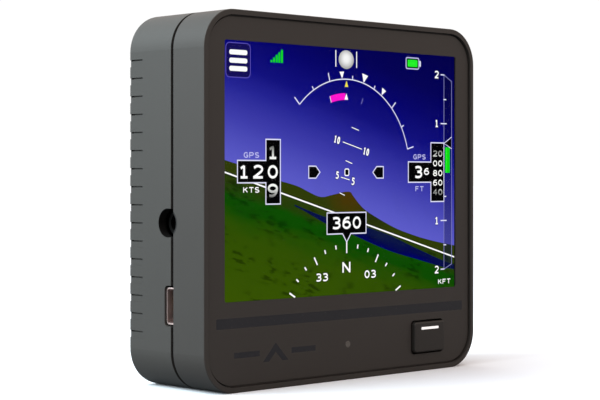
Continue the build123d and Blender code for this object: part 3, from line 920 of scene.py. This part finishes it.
@dataclass
class Picture:
    """What the display shows: every mark is a flat surface in screen units."""

    screen: Screen
    weight: float = 0.19
    space: float = 0.24
    sheets: dict[tuple[Lit, Layer], Surface] = field(default_factory=dict)

    def fill(self, grid: Array, lit: Lit, layer: Layer) -> None:
        """Adds a flat grid of one colour to a layer."""
        sheet = self.sheets.setdefault((lit, layer), Surface())
        sheet.add_grid(self.screen.spot(grid, layer.value))

    def area(self, outline: Array, lit: Lit, layer: Layer) -> None:
        """Fills a closed convex outline: each point is joined to the middle."""
        outline = np.asarray(outline, float)
        ring = np.concatenate([outline, outline[:1]])
        self.fill(patch(ring, np.broadcast_to(outline.mean(0), ring.shape)), lit, layer)

    def block(self, left: float, top: float, right: float, bottom: float) -> None:
        """Fills a black rectangle behind figures."""
        grid = np.array([[[left, top], [right, top]], [[left, bottom], [right, bottom]]])
        self.fill(grid, Lit.BLACK, Layer.BOX)

    def line(
        self,
        path: Array,
        width: float,
        lit: Lit = Lit.WHITE,
        layer: Layer = Layer.MARK,
        closed: bool = False,
        shade: float = 0.0,
    ) -> None:
        """Draws a line, with an optional dark edge of this width behind it."""
        path = np.asarray(path, float)
        self.fill(ribbon(path, width, closed), lit, layer)
        if shade:
            self.fill(ribbon(path, width + 2 * shade, closed), Lit.SHADE, Layer.SHADE)

    def figures(
        self,
        text: str,
        centre: Point,
        size: Point,
        lit: Lit = Lit.WHITE,
        turn: float = 0.0,
        layer: Layer = Layer.FIGURE,
        shade: bool = False,
    ) -> None:
        """Sets figures to a given width and height about a centre.

        Each figure has an equal cell. Its strokes are bands carried along its paths.

        Args:
            text: The figures.
            centre: Middle of their box, in units.
            size: Width and height of their box.
            lit: Colour.
            turn: Clockwise turn in degrees.
            layer: Layer.
            shade: Whether a soft dark edge lies behind them.
        """
        cell = size[0] / (len(text) + (len(text) - 1) * self.space)
        weight = size[1] * self.weight
        inner = np.array([cell, size[1]]) - weight
        angle = math.radians(turn)
        turned = np.array([[math.cos(angle), math.sin(angle)], [-math.sin(angle), math.cos(angle)]])
        for number, letter in enumerate(text):
            left = number * cell * (1 + self.space) - size[0] / 2 + weight / 2
            corner = np.array([left, weight / 2 - size[1] / 2])
            for stroke in STROKES[letter]:
                path = (stroke * inner + corner) @ turned + np.array(centre)
                self.line(path, weight, lit, layer, shade=weight * 0.55 if shade else 0.0)

    # -- parts of the picture --

    def land_and_sky(self) -> None:
        """Sky, far hills, near land, the lake and the white horizon line."""
        edge = 1.6
        left, right, top, bottom = -edge, self.screen.columns + edge, -edge, self.screen.rows + edge
        corners = np.array([[[left, top], [right, top]], [[left, bottom], [right, bottom]]])
        self.fill(corners, Lit.SKY, Layer.SKY)
        hills = curve(
            [
                (left, 109.4), (30, 117), (54, 124.5), (71.6, 129.5), (80, 131.2), (94, 134.6), (107, 139.5),
                (120, 144.0), (128.7, 144.8), (137, 143.4), (148, 141.6), (158, 140.0), (165.5, 140.4),
                (168.5, 143.5), (177, 151.5), (186.7, 158.5), (206, 167.5), (226, 175.6), (242.9, 181.1),
                (272, 188.5), (301.9, 194.2), (right, 197.4),
            ]
        )
        horizon = self.horizon_at(hills[:, 0])
        self.fill(patch(hills, np.stack([hills[:, 0], horizon + 6], -1)), Lit.PEAK, Layer.FAR_LAND)
        across = np.linspace(left, right, 60)
        shore = np.stack([across, self.horizon_at(across) - 0.3], -1)
        base = np.stack([across, np.full_like(across, bottom)], -1)
        self.fill(patch(shore, base), Lit.LAND, Layer.LAND)
        upper = curve([(89, 151.8), (104, 156.6), (130.8, 164.4), (160, 169.2), (190, 176.0), (222, 184.6),
                       (262, 198.8), (301.8, 212.2), (right, 217.6)])
        lower = curve([(89, 153.2), (104, 159.0), (130.8, 170.6), (160, 179.5), (190, 190.0), (222, 200.2),
                       (262, 209.8), (301.8, 219.0), (right, 222.4)])
        self.fill(patch(upper, lower), Lit.WATER, Layer.WATER)
        ends = np.array([[left, self.horizon_at(left)], [right, self.horizon_at(right)]], float)
        self.fill(ribbon(ends, 3.1, False), Lit.SHADE, Layer.LINE)
        self.line(ends, 1.5, Lit.WHITE, Layer.SHADE)

    def horizon_at(self, u: Any) -> Any:
        """Row of the banked horizon line at a column."""
        return self.screen.horizon + self.screen.slope * u

    def roll_scale(self) -> None:
        """Bank arc with its ticks and pointers, and the turn band below it."""
        centre, radius = (160.0, 120.5), 91.3
        self.line(arc(centre, radius, -45, 75, 90), 1.05, Lit.PALE)
        ticks = ((-45, 9.5), (75, 9.5), (-30, 4.0), (60, 4.0), (-15, 8.5), (45, 8.5), (5, 4.0), (25, 4.0))
        for angle, length in ticks:
            self.line(spoke(centre, radius, radius + length, angle), 1.25, Lit.PALE)
        for angle, length, half in ((-4.2, 7.4, 3.2), (15, 9.0, 4.4), (32.8, 7.6, 3.3)):
            tip, base = spoke(centre, radius + 0.4, radius + length, angle)
            turn = math.radians(angle)
            away = np.array([math.cos(turn), math.sin(turn)]) * half
            self.area([tip, base + away, base - away], Lit.WHITE, Layer.FIGURE)
        self.area([(159.4, 30.6), (161.9, 36.8), (156.9, 36.8)], Lit.YELLOW, Layer.FRONT)
        self.line(arc(centre, 74.2, -17.8, -1.6, 24), 6.6, Lit.MAGENTA)
        self.line([(182.8, 47.4), (180.4, 53.0)], 0.8, Lit.DIM)
        self.line(spoke(centre, 70.9, 77.5, -17.9), 0.8, Lit.PALE, Layer.FIGURE)
        self.area([(159.2, 43.2), (161.8, 49.4), (156.6, 49.4)], Lit.WHITE, Layer.FIGURE)

    def pitch_ladder(self) -> None:
        """Banked pitch lines with their figures."""
        for start, end in (
            ((166.8, 76.4), (177.0, 79.3)), ((154.3, 91.0), (181.3, 97.9)), ((158.1, 109.3), (167.6, 112.3)),
            ((151.6, 125.6), (163.8, 128.3)), ((150.0, 141.0), (157.0, 143.5)),
        ):
            self.line([start, end], 0.85, Lit.WHITE, shade=0.4)
        for text, centre, width in (
            ("10", (146.2, 88.9), 8.4), ("10", (187.3, 100.1), 8.4),
            ("5", (146.7, 123.7), 4.6), ("5", (168.8, 129.8), 4.6),
        ):
            self.figures(text, centre, (width, 7.6), turn=15, shade=True)

    def aircraft(self) -> None:
        """The fixed aircraft mark: a square and two pointed blocks."""
        square = rounded((160.0, 120.8), 5.6, 6.4, 1.2, 4)
        self.area(square, Lit.BLACK, Layer.BOX)
        self.line(square, 1.1, Lit.WHITE, closed=True)
        for sign, near, far in ((1, 122.9, 107.6), (-1, 197.0, 212.4)):
            neck = near - 5.6 * sign
            marker = [(far, 115.0), (neck, 115.0), (near, 120.8), (neck, 126.6), (far, 126.6)]
            self.area(marker, Lit.BLACK, Layer.BOX)
            self.line(marker, 1.1, Lit.PALE, closed=True)

    def boxes(self) -> None:
        """Speed and height boxes, each with a rolling drum, and their figures."""
        for outer, joint, far in ((15.7, 51.5, 70.2), (249.5, 284.2, 304.6)):
            outline = [
                (outer, 110.0), (joint, 110.0), (joint, 90.0), (far, 90.0),
                (far, 151.0), (joint, 151.0), (joint, 130.9), (outer, 130.9),
            ]
            self.block(outer, 110.0, joint, 130.9)
            self.block(joint, 90.0, far, 151.0)
            self.line(outline, 1.15, Lit.PALE, closed=True)
        self.figures("1", (23.7, 120.6), (12.2, 12.8))
        self.figures("2", (41.6, 120.6), (13.2, 12.8))
        for text, row in (("1", 102.3), ("0", 120.6), ("9", 138.2)):
            self.figures(text, (60.3, row), (13.0 if text != "1" else 12.0, 12.8), Lit.DRUM)
        self.figures("3", (264.8, 120.4), (11.8, 12.8))
        self.figures("6", (277.4, 119.8), (7.8, 7.2))
        for text, row in (("20", 101.1), ("00", 111.3), ("80", 121.4), ("60", 131.4), ("40", 141.2)):
            self.figures(text, (294.8, row), (14.6, 6.4), Lit.DRUM)
        for text, centre, width, lit in (
            ("GPS", (33.2, 105.0), 19.6, Lit.LILAC), ("KTS", (33.0, 137.5), 20.4, Lit.WHITE),
            ("GPS", (266.6, 104.8), 19.0, Lit.LILAC), ("FT", (266.6, 137.6), 12.6, Lit.LILAC),
        ):
            self.figures(text, centre, (width, 5.4), lit)

    def climb_scale(self) -> None:
        """Rate-of-climb scale at the right, with its bar and pointer."""
        rim = [(304.7, 18.9), (316.8, 25.3), (316.8, 216.6), (304.7, 221.7)]
        self.area(rim, Lit.HAZE, Layer.LINE)
        self.line(rim, 0.8, Lit.DIM, closed=True)
        for row, start, end in (
            (18.9, 299.4, 305.4), (44.6, 304.0, 308.2), (69.8, 299.4, 308.8), (145.8, 304.0, 308.2),
            (170.9, 299.4, 308.8), (196.3, 304.0, 308.2), (221.6, 299.4, 305.4),
        ):
            self.line([(start, row), (end, row)], 1.2, Lit.PALE, Layer.FIGURE)
        for text, row in (("2", 19.0), ("1", 69.7), ("1", 170.8), ("2", 221.8)):
            self.figures(text, (293.2, row), (6.6 if text == "2" else 5.6, 8.0), shade=True)
        self.line([(310.2, 94.5), (310.2, 121.0)], 7.4, Lit.GREEN)
        self.line([(308.8, 94.5), (308.8, 121.0)], 1.6, Lit.LIME, Layer.FIGURE)
        self.area([(305.0, 90.4), (316.4, 84.0), (316.4, 95.4)], Lit.BLACK, Layer.FRONT)
        self.line([(316.8, 83.6), (305.0, 90.3), (316.8, 95.8)], 1.0, Lit.PALE, Layer.FRONT)
        self.figures("KFT", (305.2, 234.4), (19.4, 5.2), Lit.WHITE)

    def heading(self) -> None:
        """Heading box and the compass rose below it."""
        self.block(132.5, 160.5, 187.2, 181.2)
        self.area([(154.2, 181.0), (165.4, 181.0), (159.8, 189.0)], Lit.BLACK, Layer.BOX)
        outline = [
            (132.5, 160.5), (187.2, 160.5), (187.2, 181.2), (165.6, 181.2),
            (159.8, 189.6), (154.0, 181.2), (132.5, 181.2),
        ]
        self.line(outline, 1.15, Lit.PALE, closed=True)
        self.line([(159.8, 189.0), (159.8, 200.4)], 1.6, Lit.WHITE)
        self.figures("360", (159.6, 170.6), (40.4, 12.3), layer=Layer.FRONT)
        centre = (160.0, 281.1)
        for angle in (*range(-60, 0, 10), *range(10, 61, 10)):
            inner = 86.0 if angle % 30 else 81.4
            self.line(spoke(centre, inner, 90.0, angle), 1.7, Lit.WHITE, shade=0.8)
        for text, middle, size in (
            ("N", (159.3, 214.3), (11.4, 11.0)),
            ("33", (125.6, 222.8), (16.4, 8.0)),
            ("03", (193.2, 222.3), (16.4, 8.0)),
        ):
            self.figures(text, middle, size, shade=True)

    def status_bar(self) -> None:
        """Menu key, signal bars, slip ball and battery along the top."""
        key = rounded((16.6, 17.4), 30.4, 31.8, 4.6)
        self.area(key, Lit.NAVY, Layer.BOX)
        self.line(key, 0.8, Lit.RIM, closed=True)
        for row in (10.1, 17.8, 25.3):
            self.area(rounded((16.8, row), 22.4, 4.6, 2.0, 5), Lit.WHITE, Layer.FIGURE)
        for number in range(5):
            column, height = 58.6 + 3.4 * number, 2.0 + 2.6 * number
            self.line([(column, 17.3), (column, 17.3 - height)], 2.5, Lit.GREEN)
        ball = BallPicture("ball")
        turn = np.linspace(0, 2 * np.pi, 64, endpoint=False)
        rim = np.stack([np.sin(turn) * ball.half[0], np.cos(turn) * ball.half[1]], -1)
        self.area(rim + np.array(ball.centre), Lit.BALL, Layer.BOX)
        for column in (144.6, 173.8):
            self.line([(column, 1.3), (column, 17.5)], 1.2, Lit.WHITE)
        for size, lit, layer in (
            ((20.6, 12.4, 2.4, 5), Lit.LILAC, Layer.BOX),
            ((18.0, 10.0, 1.5, 5), Lit.BLACK, Layer.MARK),
            ((16.0, 8.2, 1.2, 4), Lit.DARK_GREEN, Layer.FIGURE),
            ((14.6, 7.0, 0.9, 4), Lit.LIME, Layer.FRONT),
        ):
            self.area(rounded((255.9, 9.1), *size), lit, layer)
        self.line([(266.4, 9.1), (268.6, 9.1)], 6.0, Lit.PALE)

    def build(self) -> None:
        """Draws every part and makes one piece for each colour and layer."""
        for draw in (
            self.land_and_sky, self.roll_scale, self.pitch_ladder, self.aircraft,
            self.boxes, self.climb_scale, self.heading, self.status_bar,
        ):
            draw()
        for (lit, layer), sheet in self.sheets.items():
            name = f"picture_{lit.name.lower()}_{layer.name.lower()}"
            piece = sheet.build(name, lit.value, CASE, "display_glass", facing=(0, -1, 0))
            if lit is Lit.SKY:
                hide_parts("bonding_layer")


# ---- sub-assemblies -----------------------------------------------------------------


Looks = tuple[tuple[Finish, tuple[str, ...]], ...]


@dataclass
class Assembly:
    """CAD nodes that belong together, with their finishes."""

    looks: Looks = ()

    def build(self) -> None:
        """Gives each finish to its nodes, in every material slot that they have."""
        for finish, nodes in self.looks:
            for name in nodes:
                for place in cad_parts[name].material_slots:
                    place.material = finish.material()
                LOG.info("%s: dressed in %s", name, finish.name)
        self.add_pieces()

    def add_pieces(self) -> None:
        """Adds pieces of its own; most assemblies have none."""


JACK_LOW, JACK_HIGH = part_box("jack_contact")
# the jack's hole, whose wall in both shells is darkened as painted shade
JACK_HOLE_SHADE = ((JACK_LOW.y + JACK_HIGH.y) / 2, (JACK_LOW.z + JACK_HIGH.z) / 2, 2.95 * MM)


@dataclass
class Casing(Assembly):
    """Both shells, the seam, the badge, the strip and what fastens them."""

    looks: Looks = (
        # the front shell is the rear shell's plastic made darker: painted shade for the light that falls on
        # it less
        (MouldedPlastic("front_plastic_painted_shade", tone(51, 49, 47), 0.5, hole=JACK_HOLE_SHADE), ("front_shell",)),
        (MouldedPlastic("rear_plastic", tone(55, 54, 52), 0.5, hole=JACK_HOLE_SHADE), ("rear_shell",)),
        (GlossTrim("gloss_trim", tone(33, 33, 38), 0.16, 0.4), ("accent_strip", "badge_inlay")),
        (SoftRubber("silicone", tone(16, 16, 17)), ("seam_gasket",)),
        (MouldedPlastic("blank_plate", tone(120, 121, 123), 0.4, 0.2, 0.004), ("back_label",)),
        (Metal("black_steel", tone(90, 90, 92), 0.38, (1, 1, 1)), ("case_screws",)),
        (
            Metal("turned_brass", tone(200, 165, 90), 0.3, (1, 12, 1)),
            ("mount_inserts", "front_inserts", "bracket_standoffs"),
        ),
        (GlossTrim("smoky_pipe", tone(92, 89, 85), 0.2), ("light_pipe",)),
    )


@dataclass
class Display(Assembly):
    """Cover glass, lit picture, its dark border and the stack behind."""

    looks: Looks = (
        (CoverGlass("cover_glass"), ("display_lens",)),
        (GlossTrim("dark_cell", tone(10, 10, 12), 0.25, 0.15), ("lcd_cell", "bonding_layer")),
        (MouldedPlastic("white_frame", tone(225, 225, 222), 0.5), ("backlight_unit",)),
        (SoftRubber("foam", tone(30, 30, 32), 0.4), ("display_gasket", "display_pads")),
        (Metal("pressed_steel", tone(170, 170, 172), 0.35), ("display_bracket", "bracket_screws")),
    )
    border: GlossTrim = GlossTrim("printed_border", tone(12, 11, 11), 0.35, 0.1)
    bleed: float = 0.8

    def add_pieces(self) -> None:
        """Builds the picture, and a flat frame between it and the glass's edge."""
        Picture(SCREEN).build()
        middle_u, middle_v = SCREEN.columns / 2, SCREEN.rows / 2
        left, right = (middle_u + (x - SCREEN.centre_x) / SCREEN.unit for x in (LENS_LOW.x, LENS_HIGH.x))
        top, bottom = (middle_v - (z - SCREEN.centre_z) / SCREEN.unit for z in (LENS_HIGH.z, LENS_LOW.z))
        outer = corners(left, top, right, bottom)
        inner = corners(-self.bleed, -self.bleed, SCREEN.columns + self.bleed, SCREEN.rows + self.bleed)
        sheet = Surface().add_grid(SCREEN.spot(patch(outer, inner), Layer.FRONT.value + 1))
        sheet.build("picture_border", self.border, CASE, "display_glass", facing=(0, -1, 0))


@dataclass(frozen=True)
class IndexBar(Finish):
    """White bar, lit a little from behind."""

    def build(self, shader: Shader) -> bpy.types.Material:
        """The light is uneven, as a moulded bar spreads it."""
        cloud = shader.noise(0.8, 2)
        return shader.surface(
            Base_Color=shader.scaled((0.9, 0.9, 0.9, 1), 0.94 + cloud * 0.1),
            Roughness=0.35 + cloud * 0.1,
            Emission_Color=shader.scaled((1.0, 1.0, 1.0, 1), 0.5 + cloud * 0.2),
            Emission_Strength=0.9,
        )


@dataclass
class PowerKey(Assembly):
    """The key cap, its index bar and the plunger behind it, and the switch they press."""

    looks: Looks = (
        (MouldedPlastic("key_plastic", tone(40, 39, 37), 0.45, 0.28, 0.008), ("power_key",)),
        (IndexBar("index_bar"), ("key_light_bar",)),
        (MouldedPlastic("white_nylon", tone(220, 218, 210), 0.5), ("key_plunger",)),
        (MouldedPlastic("moulded_package", tone(32, 32, 33), 0.5, 0.15), ("key_switch", "light_sensor")),
    )


GOLD = Metal("plated_gold", tone(226, 188, 110), 0.25, (14, 1, 1))


@dataclass
class Sockets(Assembly):
    """The antenna jack and the USB socket, with its contact strips."""

    looks: Looks = (
        (
            MouldedPlastic("black_socket", tone(9, 9, 9), 0.55, 0.2, 0.006, 0.1, 0.12),
            ("antenna_jack", "usb_tongue"),
        ),
        (Metal("tinned_steel", tone(205, 186, 182), 0.5, (1, 14, 1)), ("usb_shell",)),
        (GOLD, ("jack_contact",)),
    )
    contacts: int = 5
    pitch: float = 0.65 * MM
    strip: float = 0.38 * MM
    rise: float = 0.12 * MM

    def add_pieces(self) -> None:
        """Contact strips along the tongue.

        Each is a half-sine profile across Z, carried along X and dropped to nothing at the mouth.
        """
        low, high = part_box("usb_tongue")
        along = np.linspace(low.x + 0.15 * MM, high.x - 0.2 * MM, 14)[:, None]
        across = np.linspace(-0.5, 0.5, 9)[None, :]
        ease = np.clip((along - along[0]) / (0.5 * MM), 0, 1) ** 0.5
        y = high.y + self.rise * np.cos(across * np.pi) * ease
        surface = Surface()
        for number in range(self.contacts):
            middle = (low.z + high.z) / 2 + (number - (self.contacts - 1) / 2) * self.pitch
            surface.add_grid(np.stack(np.broadcast_arrays(along, y, middle + across * self.strip), -1))
        surface.build("usb_contacts", GOLD, CASE, "steel", facing=(0, 1, 0), smooth=True)


@dataclass
class Insides(Assembly):
    """The board, what is on it, the battery and its leads."""

    looks: Looks = (
        (CircuitBoard("solder_mask"), ("main_board",)),
        (
            MouldedPlastic("chip_package", tone(34, 34, 35), 0.5, 0.12, 0.004),
            ("processor_chip", "memory_chips", "inertial_sensor", "power_inductors"),
        ),
        (
            Metal("shield_can", tone(190, 190, 188), 0.28, (1, 1, 8)),
            ("gps_receiver", "wifi_module", "patch_electrode"),
        ),
        (MouldedPlastic("fired_ceramic", tone(205, 198, 182), 0.6, 0.4), ("gps_patch_antenna",)),
        (MouldedPlastic("chip_ceramic", tone(150, 118, 88), 0.5, 0.2), ("board_passives",)),
        (
            MouldedPlastic("connector_nylon", tone(222, 218, 200), 0.5),
            ("ribbon_sockets", "battery_plug", "battery_socket"),
        ),
        (GlossTrim("amber_film", tone(168, 112, 40), 0.25), ("lcd_ribbon", "touch_ribbon")),
        (Metal("pouch_foil", tone(196, 198, 202), 0.35, (1, 1, 1)), ("battery_cell",)),
        (SoftRubber("battery_foam", tone(40, 40, 42), 0.4), ("battery_pads",)),
        (SoftRubber("red_sleeve", tone(170, 22, 20), 0.5), ("battery_lead_red",)),
        (SoftRubber("black_sleeve", tone(22, 22, 22), 0.5), ("battery_lead_black",)),
    )


# ---- studio ----------------------------------------------------------------------


@dataclass
class Studio:
    """Pale floor, soft light and the camera."""

    camera_x: float = -255.9 * MM
    camera_y: float = -262.5 * MM
    camera_z: float = 43.66 * MM
    heading: float = 43.912
    lens: float = 99.73
    drop: float = -0.0388
    floor_reach: float = 6.0
    floor_seen: float = 0.97
    floor_bounce: float = 0.25
    bright_way: tuple[float, float, float] = (-0.62, 0.68, 0.40)
    bright_from: float = 0.05
    bright_to: float = 0.95
    fill: float = 1.0
    key: float = 0.8
    warm: Colour = (1.0, 0.82, 0.73, 1)
    cool: Colour = (0.9, 1.0, 1.04, 1)
    backdrop: float = 1.02
    panel_place: tuple[float, float, float] = (-0.34, 0.10, 0.26)
    panel_target: tuple[float, float, float] = (-0.02, 0, 0.05)
    panel_size: float = 0.3
    panel_power: float = 2.15
    panel_colour: tuple[float, float, float] = (0.88, 0.99, 1.02)

    def build(self) -> None:
        """Makes the floor, the light and the camera."""
        scene = bpy.context.scene
        scene.view_settings.view_transform = "Standard"
        self.make_floor()
        self.make_world(scene)
        self.make_panel(scene)
        camera = bpy.data.objects.new("camera", bpy.data.cameras.new("camera"))
        camera.location = (self.camera_x, self.camera_y, self.camera_z)
        camera.rotation_euler = (math.pi / 2, 0, -math.radians(self.heading))
        camera.data.lens = self.lens
        camera.data.shift_y = self.drop
        camera.data.clip_start = 0.01
        scene.collection.objects.link(camera)
        scene.camera = camera

    def make_floor(self) -> None:
        """A square grid of points at the height of the part's base."""
        low, _ = CAD_BOX
        line = np.linspace(-self.floor_reach, self.floor_reach, 3)
        x, y = np.meshgrid(line, line, indexing="ij")
        points = np.stack([x, y, np.full_like(x, low.z)], -1)
        index = np.arange(9).reshape(3, 3)
        quads = np.stack([index[:-1, :-1], index[1:, :-1], index[1:, 1:], index[:-1, 1:]], -1).reshape(-1, 4)
        mesh = bpy.data.meshes.new("floor")
        mesh.from_pydata(points.reshape(-1, 3).tolist(), [], quads.tolist())
        shader = Shader("pale_floor")
        shade = 0.99 + shader.noise(60, 3) * 0.01
        seen = shader.node("ShaderNodeLightPath").outputs["Is Camera Ray"]
        inputs = {0: seen}
        for number, level in ((1, self.floor_bounce), (2, self.floor_seen)):
            colour = shader.scaled((0.94 * level, level, 1.07 * level, 1), shade)
            inputs[number] = shader.node("ShaderNodeBsdfDiffuse", None, {"Color": colour}).outputs[0]
        mixed = shader.node("ShaderNodeMixShader", None, inputs)
        shader.node("ShaderNodeOutputMaterial", None, {"Surface": mixed.outputs[0]})
        mesh.materials.append(shader.material)
        floor = bpy.data.objects.new("floor", mesh)
        bpy.context.scene.collection.objects.link(floor)

    def make_world(self, scene: bpy.types.Scene) -> None:
        """A wall of light behind and to the left, falling off smoothly, and white to the camera."""
        world = bpy.data.worlds.new("studio")
        world.use_nodes = True
        tree = world.node_tree
        tree.nodes.clear()

        def node(kind: str, values: Sequence[tuple[Union[int, str], Any]], **settings: Any) -> bpy.types.Node:
            """Adds a node with its settings, then its values or links."""
            made = tree.nodes.new(kind)
            for key, value in settings.items():
                setattr(made, key, value)
            for key, value in values:
                if isinstance(value, bpy.types.NodeSocket):
                    tree.links.new(value, made.inputs[key])
                else:
                    made.inputs[key].default_value = value
            return made

        way = np.array(self.bright_way) / np.linalg.norm(self.bright_way)
        place = node("ShaderNodeTexCoord", ()).outputs["Generated"]
        facing = node("ShaderNodeVectorMath", ((0, place), (1, way.tolist())), operation="DOT_PRODUCT")
        limits = (
            ("Value", facing.outputs["Value"]), ("From Min", self.bright_from), ("From Max", self.bright_to)
        )
        glow = node("ShaderNodeMapRange", limits, interpolation_type="SMOOTHSTEP").outputs[0]
        sums = ((0, glow), (1, self.key), (2, self.fill))
        strength = node("ShaderNodeMath", sums, operation="MULTIPLY_ADD").outputs[0]
        colours = ((0, glow), (6, self.warm), (7, self.cool))
        colour = node("ShaderNodeMix", colours, data_type="RGBA").outputs[2]
        lit = node("ShaderNodeBackground", (("Color", colour), ("Strength", strength)))
        white = node("ShaderNodeBackground", (("Color", (1, 1, 1, 1)), ("Strength", self.backdrop)))
        seen = node("ShaderNodeLightPath", ()).outputs["Is Camera Ray"]
        mix = node("ShaderNodeMixShader", ((0, seen), (1, lit.outputs[0]), (2, white.outputs[0])))
        node("ShaderNodeOutputWorld", ((0, mix.outputs[0]),))
        scene.world = world

    def make_panel(self, scene: bpy.types.Scene) -> None:
        """A square soft light on the socket side."""
        light = bpy.data.lights.new("side_panel", "AREA")
        light.size = self.panel_size
        light.energy = self.panel_power
        light.color = self.panel_colour
        panel = bpy.data.objects.new("side_panel", light)
        panel.location = self.panel_place
        way = Vector(self.panel_target) - Vector(self.panel_place)
        panel.rotation_euler = way.to_track_quat("-Z", "Y").to_euler()
        scene.collection.objects.link(panel)


def main() -> None:
    """Builds the looks in order and reports each piece."""
    logging.basicConfig(level=logging.INFO, format="%(name)s %(message)s")
    for part in (Casing(), Display(), PowerKey(), Sockets(), Insides(), Studio()):
        LOG.info("building %s", type(part).__name__)
        part.build()


if __name__ == "__main__":
    main()
